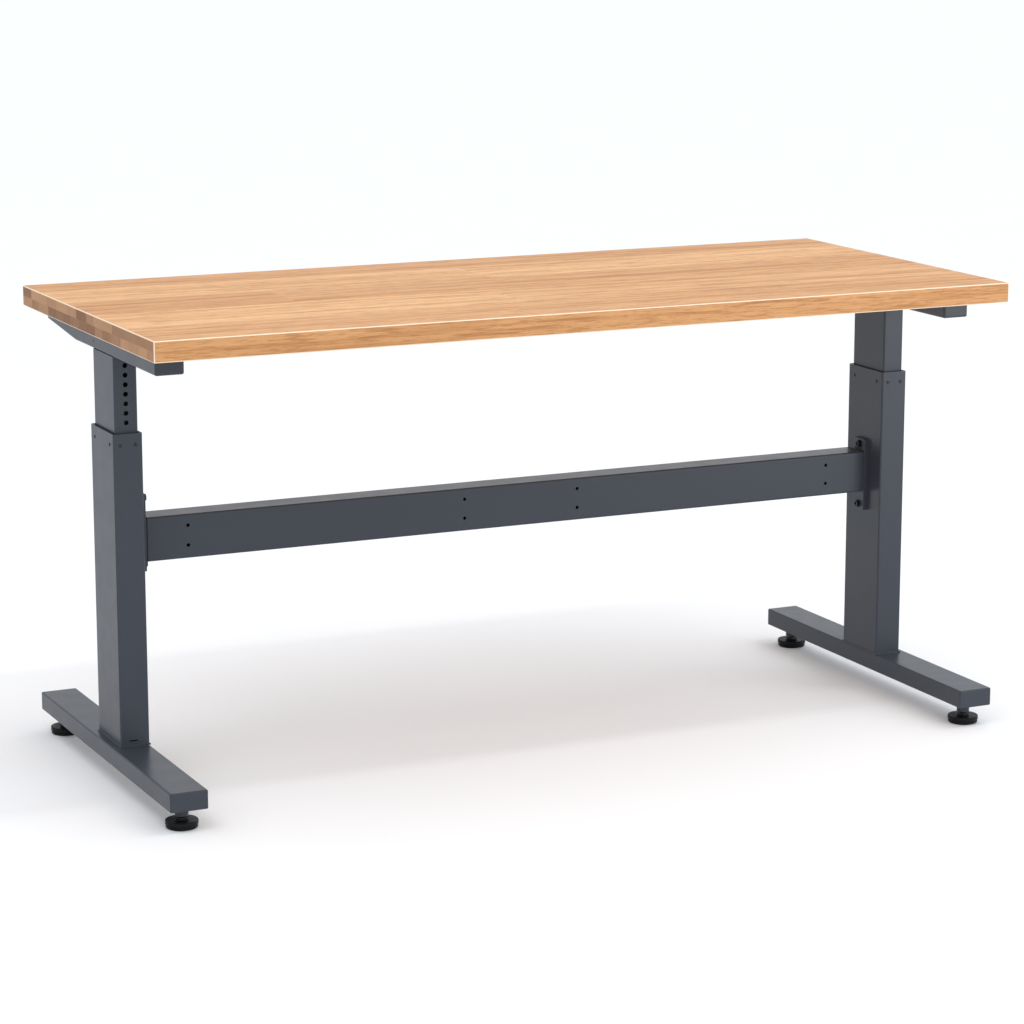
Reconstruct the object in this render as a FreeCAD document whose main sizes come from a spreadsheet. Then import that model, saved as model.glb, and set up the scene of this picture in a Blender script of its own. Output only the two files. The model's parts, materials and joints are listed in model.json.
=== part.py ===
import FreeCAD, Part
import Sketcher
import math
import os
import re

# Height-adjustable workbench, millimetres, +Z up, front towards -Y, origin on the floor under the
# middle of the worktop. Two lifting columns carry the worktop. Each one is a telescopic pair of
# tubes with a linear actuator inside it: the motor hangs from the inner tube's top plate and turns
# a lead screw, and the screw climbs in a nut that stands on a tube from the outer tube's base plate.
# The right column is the left one turned half round about the vertical.

DIMENSIONS = [
    # worktop and rails
    ("top_length", 1800, "worktop along X"),
    ("top_depth", 800, "worktop along Y"),
    ("top_thick", 40, "worktop thickness"),
    ("top_round", 2.5, "eased edge of the worktop"),
    ("bench_height", 916, "worktop surface above the floor, at rest"),
    ("rail_x", 838, "middle of a rail from the middle of the bench"),
    ("rail_wide", 56, "rail across X"),
    ("rail_high", 40, "rail height"),
    ("rail_wall", 2.5, "rail sheet thickness"),
    ("rail_lip", 14, "inward lip along each top edge of the rail"),
    ("rail_front", 304, "front end of the rail, ahead of the middle"),
    ("rail_back", 347, "rear tip of the rail, behind the middle"),
    ("rail_bend", 172, "where the rail's underside starts to rise"),
    ("rail_tip", 22, "height of the rail at its rear tip"),
    ("rail_round", 4, "outer corner radius of the rail"),
    ("rail_margin", 6, "lip across each end of the rail's flat part"),
    ("tool_hole", 4, "tooling hole in the rail's outboard wall"),
    ("tool_hole_y", 55, "tooling hole behind the middle"),
    ("tool_hole_rise", 14.5, "tooling hole above the rail's underside"),
    ("wood_screw", 5, "wood screw shank"),
    ("wood_screw_deep", 22, "wood screw's reach into the worktop"),
    ("wood_screw_head", 10, "wood screw head diameter"),
    ("wood_head_high", 3, "wood screw head height"),
    ("wood_head_key", 4, "hexagon key of the wood screws"),
    ("wood_key_deep", 2, "depth of that key's recess"),
    ("wood_side", 18, "wood screws to each side of the rail's middle"),
    ("wood_front", 260, "front wood screws ahead of the middle"),
    ("wood_rear", 150, "rear wood screws behind the middle"),
    ("wood_access", 11, "hole in the rail's floor under each wood screw"),
    # columns
    ("column_x", 843, "axis of a lifting column from the middle of the bench"),
    ("outer_wide", 58, "outer tube across X"),
    ("outer_deep", 136, "outer tube across Y"),
    ("outer_wall", 3, "outer tube wall"),
    ("inner_wide", 46, "inner tube across X"),
    ("inner_deep", 122, "inner tube across Y"),
    ("inner_wall", 2.5, "inner tube wall"),
    ("tube_round", 3.5, "outer corner radius of both tubes"),
    ("rim_height", 689.5, "top rim of the outer tube above the floor"),
    ("inner_foot", 245, "lower end of the inner tube at rest"),
    ("row_first", 709.5, "lowest hole of the row in the inner tube"),
    ("row_pitch", 18.2, "pitch of that row"),
    ("row_hole", 9.5, "hole diameter of that row"),
    ("row_count", 7, "holes in that row"),
    ("slot_wide", 18, "drain slot in the outer tube"),
    ("slot_high", 2.5, "height of that slot"),
    ("slot_shift", -2.5, "middle of the slot from the column's axis"),
    ("slot_rise", 11.5, "slot above the top of the foot"),
    # feet and levellers
    ("foot_x", 851, "middle of a foot from the middle of the bench"),
    ("foot_wide", 74, "foot tube across X"),
    ("foot_high", 37, "foot tube height"),
    ("foot_long", 796, "foot over its end caps, along Y"),
    ("foot_under", 42, "underside of the foot above the floor"),
    ("foot_wall", 3, "foot tube wall"),
    ("foot_round", 3, "outer corner radius of the foot"),
    ("cap_thick", 3, "foot end cap"),
    ("level_y", 353, "leveller from the middle of the foot"),
    ("pad_wide", 62, "leveller pad diameter"),
    ("pad_high", 17, "leveller pad height"),
    ("stud_wide", 12, "leveller stud diameter"),
    ("stud_top", 70, "upper end of the stud at rest"),
    ("stud_flats", 24, "across the flats of the stud's hexagon"),
    ("stud_hex_high", 3.2, "height of the stud's hexagon"),
    ("stud_seat", 6, "floor of the pad's bore for the stud"),
    ("stud_ease", 1, "chamfer at the stud's upper end"),
    ("pad_ease", 2, "chamfer under the pad"),
    ("pad_step", 1, "each step in the pad's outline"),
    ("pad_dish", 2, "fall of the pad's top outside its collar"),
    ("pad_collar", 24, "collar round the pad's bore"),
    ("groove_foot", 5, "lower side of the groove round the pad"),
    ("groove_high", 0.8, "floor of that groove along Z"),
    ("boss_wide", 26, "leveller insert below the foot"),
    ("boss_under", 23, "lower end of the leveller insert"),
    ("neck_wide", 22, "leveller insert inside the foot"),
    ("neck_high", 20, "height of that neck"),
    ("foot_bolt", 10, "foot bolt shank"),
    ("foot_bolt_flats", 16, "across the flats of a foot bolt"),
    ("foot_bolt_head", 6.4, "height of a foot bolt's head"),
    ("foot_bolt_x", 14, "foot bolts to each side of the column's axis"),
    ("foot_bolt_y", 48, "foot bolts ahead of and behind it"),
    ("foot_access", 20, "hole in the foot's floor under each foot bolt"),
    ("cap_plug", 12, "length of an end cap's plug"),
    ("cap_round", 2.5, "rounded outer edge of an end cap"),
    # stretcher
    ("beam_half", 797, "half length of the stretcher"),
    ("beam_y", 12.5, "middle of the stretcher behind the bench's middle"),
    ("beam_deep", 63, "stretcher across Y"),
    ("beam_high", 87, "stretcher height"),
    ("beam_under", 427, "underside of the stretcher above the floor"),
    ("beam_wall", 2.5, "stretcher wall"),
    ("beam_round", 4, "corner radius of the stretcher"),
    ("beam_hole", 7, "hole diameter in the stretcher's front face"),
    ("hole_rise", 19.5, "holes above and below the pair's middle"),
    ("hole_level", 45.5, "the pairs' middle above the stretcher's underside"),
    ("hole_inner", 125.5, "inner pairs from the middle"),
    ("hole_outer", 710, "outer pairs from the middle"),
    ("bracket_wide", 40, "bracket plate across Y"),
    ("bracket_high", 152, "bracket plate height"),
    ("left_bracket_thick", 20, "left bracket plate thickness"),
    ("right_bracket_thick", 10, "right bracket plate thickness"),
    ("bracket_round", 1.5, "rounded edge of the bracket plate"),
    ("bracket_y", 2, "middle of the bracket plate behind the bench's middle"),
    ("left_bracket_level", 485, "middle of the left bracket above the floor"),
    ("right_bracket_level", 463, "middle of the right bracket above the floor"),
    ("bracket_bolts", 65, "bracket bolts above and below the middle"),
    ("bolt_wide", 8, "shank of the bracket bolts and the top plate bolts"),
    ("bolt_head", 13, "head of those bolts"),
    ("bolt_head_high", 8, "height of a top plate bolt's head"),
    ("bolt_key", 6, "hexagon key of those bolts"),
    ("bolt_key_deep", 4, "depth of that key's recess"),
    ("bolt_flange", 17, "flange under a bracket bolt's head"),
    ("bolt_flange_high", 1.4, "thickness of that flange"),
    ("low_head_high", 5, "height of a bracket bolt's head above its flange"),
    # drive
    ("plate_thick", 10, "column top plate"),
    ("top_bolt_side", 12, "top plate bolts to each side of the column's axis"),
    ("top_bolt_end", 46, "top plate bolts ahead of and behind it"),
    ("base_thick", 8, "column base plate"),
    ("flange_thick", 3.5, "rim of the base plate, under the outer tube"),
    ("flange_out", 1.5, "rim of the base plate outside the outer tube"),
    ("flange_round", 1.2, "rounded edge of that rim"),
    ("screw_wide", 20, "lead screw diameter"),
    ("screw_foot", 232, "lower end of the lead screw at rest"),
    ("journal_wide", 12, "lead screw journal diameter"),
    ("run_gap", 0.05, "radial clearance of a running fit"),
    ("free_gap", 0.3, "gap beside a sliding face"),
    ("over_cut", 1, "how far a cut runs past the face it opens"),
    ("tube_wide", 30, "nut tube outside diameter"),
    ("tube_bore", 25, "nut tube bore"),
    ("tube_top", 535, "top of the nut tube above the floor"),
    ("nut_wide", 36, "drive nut flange diameter"),
    ("nut_flange", 12, "drive nut flange thickness"),
    ("nut_ease", 1, "chamfer round the drive nut's flange"),
    ("nut_spigot", 22, "drive nut spigot inside the nut tube"),
    ("drive_wide", 40, "drive housing across X"),
    ("drive_deep", 104, "drive housing across Y"),
    ("drive_shift", 2, "middle of the drive housing from the screw axis"),
    ("drive_high", 44, "drive housing height"),
    ("drive_round", 2, "corner radius of the housing and its cover"),
    ("cover_thick", 6, "housing cover"),
    ("pillar_long", 72, "pillars between the cover and the top plate"),
    ("pillar_wide", 8, "pillar diameter"),
    ("pillar_side", 14, "pillars to each side of the screw axis"),
    ("pillar_apart", 86, "pillars apart along Y"),
    ("bearing_wide", 32, "screw bearing outside diameter"),
    ("bearing_high", 10, "screw bearing width"),
    ("bearing_foot", 3, "bearing above the housing's lower face"),
    ("collar_wide", 17, "collar of the lead screw under the bearing"),
    ("screw_lead_in", 2, "chamfer at the lead screw's lower end"),
    ("screw_short", 1.5, "lead screw's upper end below the housing's top"),
    ("gear_module", 1.25, "module of the gear pair"),
    ("gear_teeth", 22, "teeth of the screw gear"),
    ("pinion_teeth", 10, "teeth of the motor pinion"),
    ("gear_thick", 10, "face width of the gears"),
    ("gear_gap", 2, "room above, below and round the gears"),
    ("motor_wide", 34, "motor diameter"),
    ("motor_long", 62, "motor length"),
    ("motor_wall", 5, "lower end of the motor's can"),
    ("motor_roof", 4, "solid part of the motor's upper end"),
    ("motor_round", 2, "chamfer round the motor's upper end"),
    ("motor_air", 1, "gap round the rotor"),
    ("rotor_wide", 26, "rotor diameter"),
    ("rotor_long", 40, "rotor length"),
    ("shaft_wide", 5, "motor shaft diameter"),
    ("socket_wide", 14, "barrel of the motor socket"),
    ("socket_bore", 9, "bore of the motor socket"),
    ("socket_rim", 2.5, "rim of the motor socket"),
    ("socket_y", 26, "motor socket from the screw axis, on the motor's side"),
    # glides
    ("glide_high", 44, "upper glide pads along Z"),
    ("glide_drop", 5, "upper glide pads below the rim"),
    ("glide_side", 30, "width of a pad on a wide face"),
    ("glide_end", 34, "width of a pad on a narrow face"),
    ("glide_y", 45, "pads on the wide faces, from the middle"),
    ("shoe_high", 40, "lower glide shoe above the inner tube's end"),
    ("shoe_lip", 5, "lower glide shoe below the inner tube's end"),
    ("shoe_round", 1, "corner radius of the shoe"),
    ("pin_drop", 22, "glide screws below the rim"),
    ("pin_apart", 15, "glide screws from the middle of a narrow face"),
    ("pin_wide", 4, "glide screw shank"),
    ("pin_head", 7, "glide screw head"),
    ("pin_head_high", 1.2, "glide screw head height"),
    ("pin_bite", 1.5, "glide screw's reach into its pad"),
    ("pin_key", 2.5, "hexagon key of the glide screws"),
]

FOOT_TOP = "foot_under + foot_high"
RAIL_FLOOR = "bench_height - top_thick - rail_high"
SIDES = {"left": -1, "right": 1}
ENDS = {"front": -1, "rear": 1}
NODES = []
SLACK = 0.01  # room for rounding when edges are picked and volumes compared


def formula(text):
    """Prefix every dimension's name in an expression with the name of the sheet."""
    return re.sub(r"\b([a-z]+_[a-z_]+)\b", r"Sizes.\1", str(text))


def value(obj, text):
    """The number that an expression has now."""
    return float(obj.evalExpression(formula(text)))


def bind(obj, prop, text):
    obj.setExpression(prop, formula(text))


def make_sheet(doc):
    sheet = doc.addObject("Spreadsheet::Sheet", "Sizes")
    for row, (name, number, note) in enumerate(DIMENSIONS, start=1):
        sheet.set(f"A{row}", name)
        sheet.set(f"B{row}", str(number))
        sheet.set(f"C{row}", note)
        sheet.setAlias(f"B{row}", name)
    doc.recompute()
    return sheet


# ---- sketches and features -------------------------------------------------------------------

def new_body(doc, label):
    body = doc.addObject("PartDesign::Body", label)
    body.Label = label
    NODES.append(body)
    return body


def new_sketch(body, name, role, level="0"):
    """A sketch on one of the body's own origin planes, raised along its normal."""
    sketch = body.newObject("Sketcher::SketchObject", name)
    plane = next(item for item in body.Origin.OriginFeatures if item.Role == role)
    sketch.AttachmentSupport = (plane, [""])
    sketch.MapMode = "FlatFace"
    bind(sketch, "AttachmentOffset.Base.z", level)
    return sketch


def draw_box(sketch, wide, high, across="0", up="0"):
    """A rectangle about a centre, every size and place bound to an expression."""
    half_wide = value(sketch, wide) / 2
    half_high = value(sketch, high) / 2
    middle = FreeCAD.Vector(value(sketch, across), value(sketch, up), 0)
    signs = [(-1, -1), (1, -1), (1, 1), (-1, 1)]
    corners = [middle + FreeCAD.Vector(u * half_wide, v * half_high, 0) for u, v in signs]
    first = sketch.GeometryCount
    for index in range(4):
        sketch.addGeometry(Part.LineSegment(corners[index], corners[(index + 1) % 4]), False)
    for index in range(4):
        join(sketch, first + index, first + (index + 1) % 4)
    sketch.addConstraint(Sketcher.Constraint("Horizontal", first))
    sketch.addConstraint(Sketcher.Constraint("Vertical", first + 1))
    sketch.addConstraint(Sketcher.Constraint("Horizontal", first + 2))
    sketch.addConstraint(Sketcher.Constraint("Vertical", first + 3))
    rule(sketch, "DistanceX", (first, 1, first, 2), wide)
    rule(sketch, "DistanceY", (first + 1, 1, first + 1, 2), high)
    rule(sketch, "DistanceX", (-1, 1, first, 1), f"{across} - ({wide}) / 2")
    rule(sketch, "DistanceY", (-1, 1, first, 1), f"{up} - ({high}) / 2")


def draw_circle(sketch, diameter, across="0", up="0"):
    centre = FreeCAD.Vector(value(sketch, across), value(sketch, up), 0)
    radius = value(sketch, diameter) / 2
    circle = Part.Circle(centre, FreeCAD.Vector(0, 0, 1), radius)
    index = sketch.addGeometry(circle, False)
    rule(sketch, "Diameter", (index,), diameter)
    rule(sketch, "DistanceX", (-1, 1, index, 3), across)
    rule(sketch, "DistanceY", (-1, 1, index, 3), up)


def draw_outline(sketch, points):
    """A closed outline of straight lines through points given as pairs of expressions."""
    spots = [FreeCAD.Vector(value(sketch, u), value(sketch, v), 0) for u, v in points]
    count = len(points)
    first = sketch.GeometryCount
    for index in range(count):
        sketch.addGeometry(Part.LineSegment(spots[index], spots[(index + 1) % count]), False)
    for index in range(count):
        join(sketch, first + index, first + (index + 1) % count)
    for index, (u, v) in enumerate(points):
        rule(sketch, "DistanceX", (-1, 1, first + index, 1), u)
        rule(sketch, "DistanceY", (-1, 1, first + index, 1), v)


def join(sketch, line, following):
    """Let one line's end be the start of the line that follows it."""
    sketch.addConstraint(Sketcher.Constraint("Coincident", line, 2, following, 1))


def rule(sketch, kind, terms, text):
    """A dimension of a sketch, bound to an expression."""
    index = sketch.addConstraint(Sketcher.Constraint(kind, *terms, value(sketch, text)))
    sketch.renameConstraint(index, f"rule{index}")
    bind(sketch, f"Constraints.rule{index}", text)


def add_pad(body, sketch, length, both_ways=False, other_way=False):
    pad = body.newObject("PartDesign::Pad", f"{sketch.Name}_pad")
    pad.Profile = sketch
    if both_ways:
        pad.SideType = "Symmetric"
    pad.Reversed = other_way
    bind(pad, "Length", length)
    body.Document.recompute()
    return pad


def add_pocket(body, sketch, length, both_ways=False, other_way=False):
    """A pocket; it stops the build if it removes nothing."""
    before = body.Shape.Volume
    pocket = body.newObject("PartDesign::Pocket", f"{sketch.Name}_pocket")
    pocket.Profile = sketch
    if both_ways:
        pocket.SideType = "Symmetric"
    pocket.Reversed = other_way
    bind(pocket, "Length", length)
    body.Document.recompute()
    if body.Shape.Volume >= before - SLACK:
        raise RuntimeError(f"{body.Label}: {pocket.Name} removes nothing")
    return pocket


def spin(body, sketch):
    """Turn a half section, drawn on the XZ plane, round the body's Z axis."""
    turn = body.newObject("PartDesign::Revolution", f"{sketch.Name}_turn")
    turn.Profile = sketch
    axis = next(item for item in body.Origin.OriginFeatures if item.Role == "Z_Axis")
    turn.ReferenceAxis = (axis, [""])
    turn.Angle = 360
    body.Document.recompute()
    return turn


def round_edges(body, radius, wanted):
    """Fillet the edges of the body's shape for which wanted(edge) is true."""
    base = body.Tip
    names = [f"Edge{n}" for n, edge in enumerate(base.Shape.Edges, start=1) if wanted(edge)]
    fillet = body.newObject("PartDesign::Fillet", f"{body.Name}_round")
    fillet.Base = (base, names)
    bind(fillet, "Radius", radius)
    body.Document.recompute()
    return fillet


def is_along(edge, axis):
    """True for a straight edge that runs along x, y or z."""
    if not isinstance(edge.Curve, Part.Line):
        return False
    return abs(getattr(edge.Curve.Direction, axis)) > 0.999


def turned_body(doc, label, points):
    """A body of revolution about its own Z axis, from its half section (radius, height)."""
    body = new_body(doc, label)
    section = new_sketch(body, f"{label}_section", "XZ_Plane")
    draw_outline(section, points)
    spin(body, section)
    return body


def set_place(obj, x="0", y="0", z="0", half_turn=False):
    """Put a sub-part in the bench, turned half round about the vertical if it is a right one."""
    angle = 180 if half_turn else 0
    obj.Placement.Rotation = FreeCAD.Rotation(FreeCAD.Vector(0, 0, 1), angle)
    bind(obj, "Placement.Base.x", x)
    bind(obj, "Placement.Base.y", y)
    bind(obj, "Placement.Base.z", z)


def place_on_column(obj, side, z="0"):
    """Put a sub-part of a lifting column on that column's axis."""
    set_place(obj, x=f"{SIDES[side]} * column_x", z=z, half_turn=side == "right")


# ---- groups of fasteners ---------------------------------------------------------------------

def rod(doc, name, diameter, length, x, y, z, axis=(0, 0, 1)):
    cylinder = doc.addObject("Part::Cylinder", name)
    bind(cylinder, "Radius", f"({diameter}) / 2")
    bind(cylinder, "Height", length)
    direction = FreeCAD.Vector(*axis)
    cylinder.Placement.Rotation = FreeCAD.Rotation(FreeCAD.Vector(0, 0, 1), direction)
    bind(cylinder, "Placement.Base.x", x)
    bind(cylinder, "Placement.Base.y", y)
    bind(cylinder, "Placement.Base.z", z)
    return cylinder


def hexagon(doc, name, flats, length, x, y, z, axis=(0, 0, 1)):
    prism = doc.addObject("Part::Prism", name)
    prism.Polygon = 6
    bind(prism, "Circumradius", f"({flats}) / sqrt(3)")
    bind(prism, "Height", length)
    direction = FreeCAD.Vector(*axis)
    prism.Placement.Rotation = FreeCAD.Rotation(FreeCAD.Vector(0, 0, 1), direction)
    bind(prism, "Placement.Base.x", x)
    bind(prism, "Placement.Base.y", y)
    bind(prism, "Placement.Base.z", z)
    return prism


def fuse(doc, name, shapes):
    joined = doc.addObject("Part::MultiFuse", name)
    joined.Shapes = shapes
    return joined


def cut(doc, name, base, tool):
    result = doc.addObject("Part::Cut", name)
    result.Base = base
    result.Tool = tool
    return result


def group(doc, label, members):
    """One node that holds several like pieces as separate solids."""
    compound = doc.addObject("Part::Compound", label)
    compound.Label = label
    compound.Links = members
    NODES.append(compound)
    return compound


# ---- worktop and rails -----------------------------------------------------------------------

WOOD_SCREW_Y = ("-wood_front", "wood_rear")
WOOD_SCREW_X = ("-wood_side", "wood_side")
TOP_BOLT_X = ("-top_bolt_side", "top_bolt_side")
TOP_BOLT_Y = ("-top_bolt_end", "top_bolt_end")


def wood_screw_places():
    """Where the wood screws stand, as expressions for x and y."""
    return [(f"{sign} * rail_x + {across}", along)
            for sign in SIDES.values() for across in WOOD_SCREW_X for along in WOOD_SCREW_Y]


def make_worktop(doc):
    body = new_body(doc, "worktop")
    outline = new_sketch(body, "worktop_outline", "XY_Plane")
    draw_box(outline, "top_length", "top_depth")
    add_pad(body, outline, "top_thick")
    pilots = new_sketch(body, "worktop_pilots", "XY_Plane")
    for across, along in wood_screw_places():
        draw_circle(pilots, "wood_screw", across, along)
    add_pocket(body, pilots, "wood_screw_deep", other_way=True)
    half_length = value(body, "top_length") / 2 - SLACK
    half_depth = value(body, "top_depth") / 2 - SLACK

    def is_outer(edge):
        spot = edge.CenterOfMass
        return abs(spot.x) > half_length or abs(spot.y) > half_depth

    round_edges(body, "top_round", is_outer)
    set_place(body, z="bench_height - top_thick")


def make_worktop_screws(doc):
    screws = []
    for index, (across, along) in enumerate(wood_screw_places()):
        under = "bench_height - top_thick - rail_wall"
        below = f"{under} - wood_head_high"
        shank = rod(doc, f"wood_shank{index}", "wood_screw", "wood_screw_deep + rail_wall",
                    across, along, under)
        head = rod(doc, f"wood_head{index}", "wood_screw_head", "wood_head_high",
                   across, along, below)
        solid = fuse(doc, f"wood_screw{index}", [head, shank])
        recess = hexagon(doc, f"wood_recess{index}", "wood_head_key", "wood_key_deep",
                         across, along, below)
        screws.append(cut(doc, f"wood_screw_cut{index}", solid, recess))
    group(doc, "worktop_screws", screws)


def make_top_rail(doc, side):
    """A folded channel, open upwards between its lips, closed at both ends. A small tooling hole
    is in its outboard wall."""
    label = f"{side}_top_rail"
    body = new_body(doc, label)
    profile = new_sketch(body, f"{label}_profile", "YZ_Plane")
    draw_outline(profile, [
        ("-rail_front", "0"),
        ("rail_bend", "0"),
        ("rail_back", "rail_high - rail_tip"),
        ("rail_back", "rail_high"),
        ("-rail_front", "rail_high"),
    ])
    add_pad(body, profile, "rail_wide", both_ways=True)
    half_wide = value(body, "rail_wide") / 2 - SLACK
    front = -value(body, "rail_front") + SLACK
    top = value(body, "rail_high") - SLACK

    def is_corner(edge):
        spot = edge.CenterOfMass
        if spot.z > top:
            return False
        if is_along(edge, "z"):
            return spot.y < front
        if is_along(edge, "x"):
            return spot.y < front
        return abs(spot.x) > half_wide

    round_edges(body, "rail_round", is_corner)
    # The inside: one pocket between the side walls, another between the lips.
    inside = new_sketch(body, f"{label}_inside", "YZ_Plane")
    slope = "(rail_high - rail_tip) / (rail_back - rail_bend)"
    draw_outline(inside, [
        ("rail_wall - rail_front", "rail_wall"),
        ("rail_bend", "rail_wall"),
        ("rail_back - rail_wall", f"rail_wall + {slope} * (rail_back - rail_wall - rail_bend)"),
        ("rail_back - rail_wall", "rail_high - rail_wall"),
        ("rail_wall - rail_front", "rail_high - rail_wall"),
    ])
    add_pocket(body, inside, "rail_wide - 2 * rail_wall", both_ways=True)
    opening = new_sketch(body, f"{label}_opening", "XY_Plane", "rail_high")
    draw_box(opening, "rail_wide - 2 * rail_lip",
             "rail_front + rail_bend - 2 * rail_margin", "0", "(rail_bend - rail_front) / 2")
    add_pocket(body, opening, "rail_wall + over_cut")
    holes = new_sketch(body, f"{label}_holes", "XY_Plane", "rail_high")
    access = new_sketch(body, f"{label}_access", "XY_Plane", "rail_wall + over_cut")
    for across in WOOD_SCREW_X:
        for along in WOOD_SCREW_Y:
            draw_circle(holes, "wood_screw", across, along)
            draw_circle(access, "wood_access", across, along)
    shift = f"{SIDES[side]} * (column_x - rail_x)"
    for across in TOP_BOLT_X:
        for along in TOP_BOLT_Y:
            draw_circle(access, "bolt_wide", f"{shift} + {across}", along)
    draw_circle(access, "socket_wide", shift, f"{-SIDES[side]} * socket_y")
    add_pocket(body, holes, "rail_wall + over_cut")
    add_pocket(body, access, "rail_wall + 2 * over_cut")
    tooling = new_sketch(body, f"{label}_tooling", "YZ_Plane", f"{SIDES[side]} * rail_wide / 2")
    draw_circle(tooling, "tool_hole", "tool_hole_y", "tool_hole_rise")
    add_pocket(body, tooling, "2 * (rail_wall + over_cut)", both_ways=True)
    set_place(body, x=f"{SIDES[side]} * rail_x", z=RAIL_FLOOR)


# ---- lifting column: tubes, plates and glides ------------------------------------------------

def tube_body(doc, label, wide, deep, wall, rounding, long):
    """An upright rectangular tube with rounded corners, its foot on its own origin."""
    body = new_body(doc, label)
    section = new_sketch(body, f"{label}_section", "XY_Plane")
    draw_box(section, wide, deep)
    draw_box(section, f"{wide} - 2 * {wall}", f"{deep} - 2 * {wall}")
    add_pad(body, section, long)
    reach = value(body, wide) / 2 - SLACK
    round_edges(body, rounding, lambda e: is_along(e, "z") and abs(e.CenterOfMass.x) > reach)
    return body


def make_outer_column(doc, side):
    label = f"{side}_outer_column"
    bottom = f"{FOOT_TOP} + flange_thick"
    body = tube_body(doc, label, "outer_wide", "outer_deep", "outer_wall", "tube_round",
                     f"rim_height - ({bottom})")
    pin_level = f"rim_height - ({bottom}) - pin_drop"
    sides = new_sketch(body, f"{label}_side_holes", "YZ_Plane")
    for sign in (-1, 1):
        draw_circle(sides, "pin_wide", f"{sign} * glide_y", pin_level)
    add_pocket(body, sides, "outer_wide + 2 * over_cut", both_ways=True)
    ends = new_sketch(body, f"{label}_end_holes", "XZ_Plane")
    for sign in (-1, 1):
        draw_circle(ends, "pin_wide", f"{sign} * pin_apart", pin_level)
    add_pocket(body, ends, "outer_deep + 2 * over_cut", both_ways=True)
    # Threaded holes for the bracket bolts, in the wall that faces the other column.
    bolts = new_sketch(body, f"{label}_bracket_holes", "YZ_Plane", "outer_wide / 2 + over_cut")
    across = f"{-SIDES[side]} * bracket_y"
    for sign in (-1, 1):
        level = f"{side}_bracket_level - ({bottom}) + {sign} * bracket_bolts"
        draw_circle(bolts, "bolt_wide", across, level)
    add_pocket(body, bolts, "outer_wall + 2 * over_cut")
    # A drain slot low in the front wall, or the rear one on the right column.
    slot = new_sketch(body, f"{label}_slot", "XZ_Plane", "outer_deep / 2 + over_cut")
    draw_box(slot, "slot_wide", "slot_high", "slot_shift", "slot_rise - flange_thick")
    add_pocket(body, slot, "outer_wall + 2 * over_cut")
    place_on_column(body, side, bottom)


def make_inner_column(doc, side):
    label = f"{side}_inner_column"
    body = tube_body(doc, label, "inner_wide", "inner_deep", "inner_wall", "tube_round",
                     f"{RAIL_FLOOR} - inner_foot")
    row = new_sketch(body, f"{label}_row", "XZ_Plane", "inner_deep / 2 + over_cut")
    for index in range(round(value(body, "row_count"))):
        draw_circle(row, "row_hole", "0", f"row_first - inner_foot + {index} * row_pitch")
    add_pocket(body, row, "inner_wall + 2 * over_cut")
    place_on_column(body, side, "inner_foot")


def make_base_plate(doc, side):
    """The plate in the foot of the outer tube: the tube stands on its rim."""
    label = f"{side}_base_plate"
    body = new_body(doc, label)
    rim = new_sketch(body, f"{label}_rim", "XY_Plane")
    draw_box(rim, "outer_wide + 2 * flange_out", "outer_deep + 2 * flange_out")
    add_pad(body, rim, "flange_thick")
    top = value(body, "flange_thick")
    round_edges(body, "flange_round", lambda e: e.CenterOfMass.z > top - SLACK)
    plug = new_sketch(body, f"{label}_plug", "XY_Plane")
    draw_box(plug, "outer_wide - 2 * outer_wall", "outer_deep - 2 * outer_wall")
    add_pad(body, plug, "base_thick")
    holes = new_sketch(body, f"{label}_holes", "XY_Plane")
    for across in FOOT_BOLT_X:
        for along in FOOT_BOLT_Y:
            draw_circle(holes, "foot_bolt", across, along)
    add_pocket(body, holes, "3 * base_thick", both_ways=True)
    place_on_column(body, side, FOOT_TOP)


def make_top_plate(doc, side):
    """The plate welded into the head of the inner tube."""
    label = f"{side}_top_plate"
    body = new_body(doc, label)
    outline = new_sketch(body, f"{label}_outline", "XY_Plane")
    draw_box(outline, "inner_wide - 2 * inner_wall", "inner_deep - 2 * inner_wall")
    add_pad(body, outline, "plate_thick")
    holes = new_sketch(body, f"{label}_holes", "XY_Plane")
    for across in TOP_BOLT_X:
        for along in TOP_BOLT_Y:
            draw_circle(holes, "bolt_wide", across, along)
    draw_circle(holes, "socket_wide", "0", "socket_y")
    add_pocket(body, holes, "2 * (plate_thick + over_cut)", both_ways=True)
    place_on_column(body, side, f"{RAIL_FLOOR} - plate_thick")


def make_top_bolts(doc):
    bolts = []
    for side, sign in SIDES.items():
        for index, (across, along) in enumerate(
                [(u, v) for u in TOP_BOLT_X for v in TOP_BOLT_Y]):
            name = f"{side}_top_bolt{index}"
            x = f"{sign} * column_x + {across}"
            floor = f"{RAIL_FLOOR} + rail_wall"
            shank = rod(doc, f"{name}_shank", "bolt_wide", "rail_wall + plate_thick", x, along,
                        f"{floor} - rail_wall - plate_thick")
            head = rod(doc, f"{name}_head", "bolt_head", "bolt_head_high", x, along, floor)
            solid = fuse(doc, f"{name}_solid", [shank, head])
            recess = hexagon(doc, f"{name}_recess", "bolt_key", "bolt_key_deep + over_cut", x,
                             along, f"{floor} + bolt_head_high - bolt_key_deep")
            bolts.append(cut(doc, name, solid, recess))
    group(doc, "top_plate_bolts", bolts)


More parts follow.
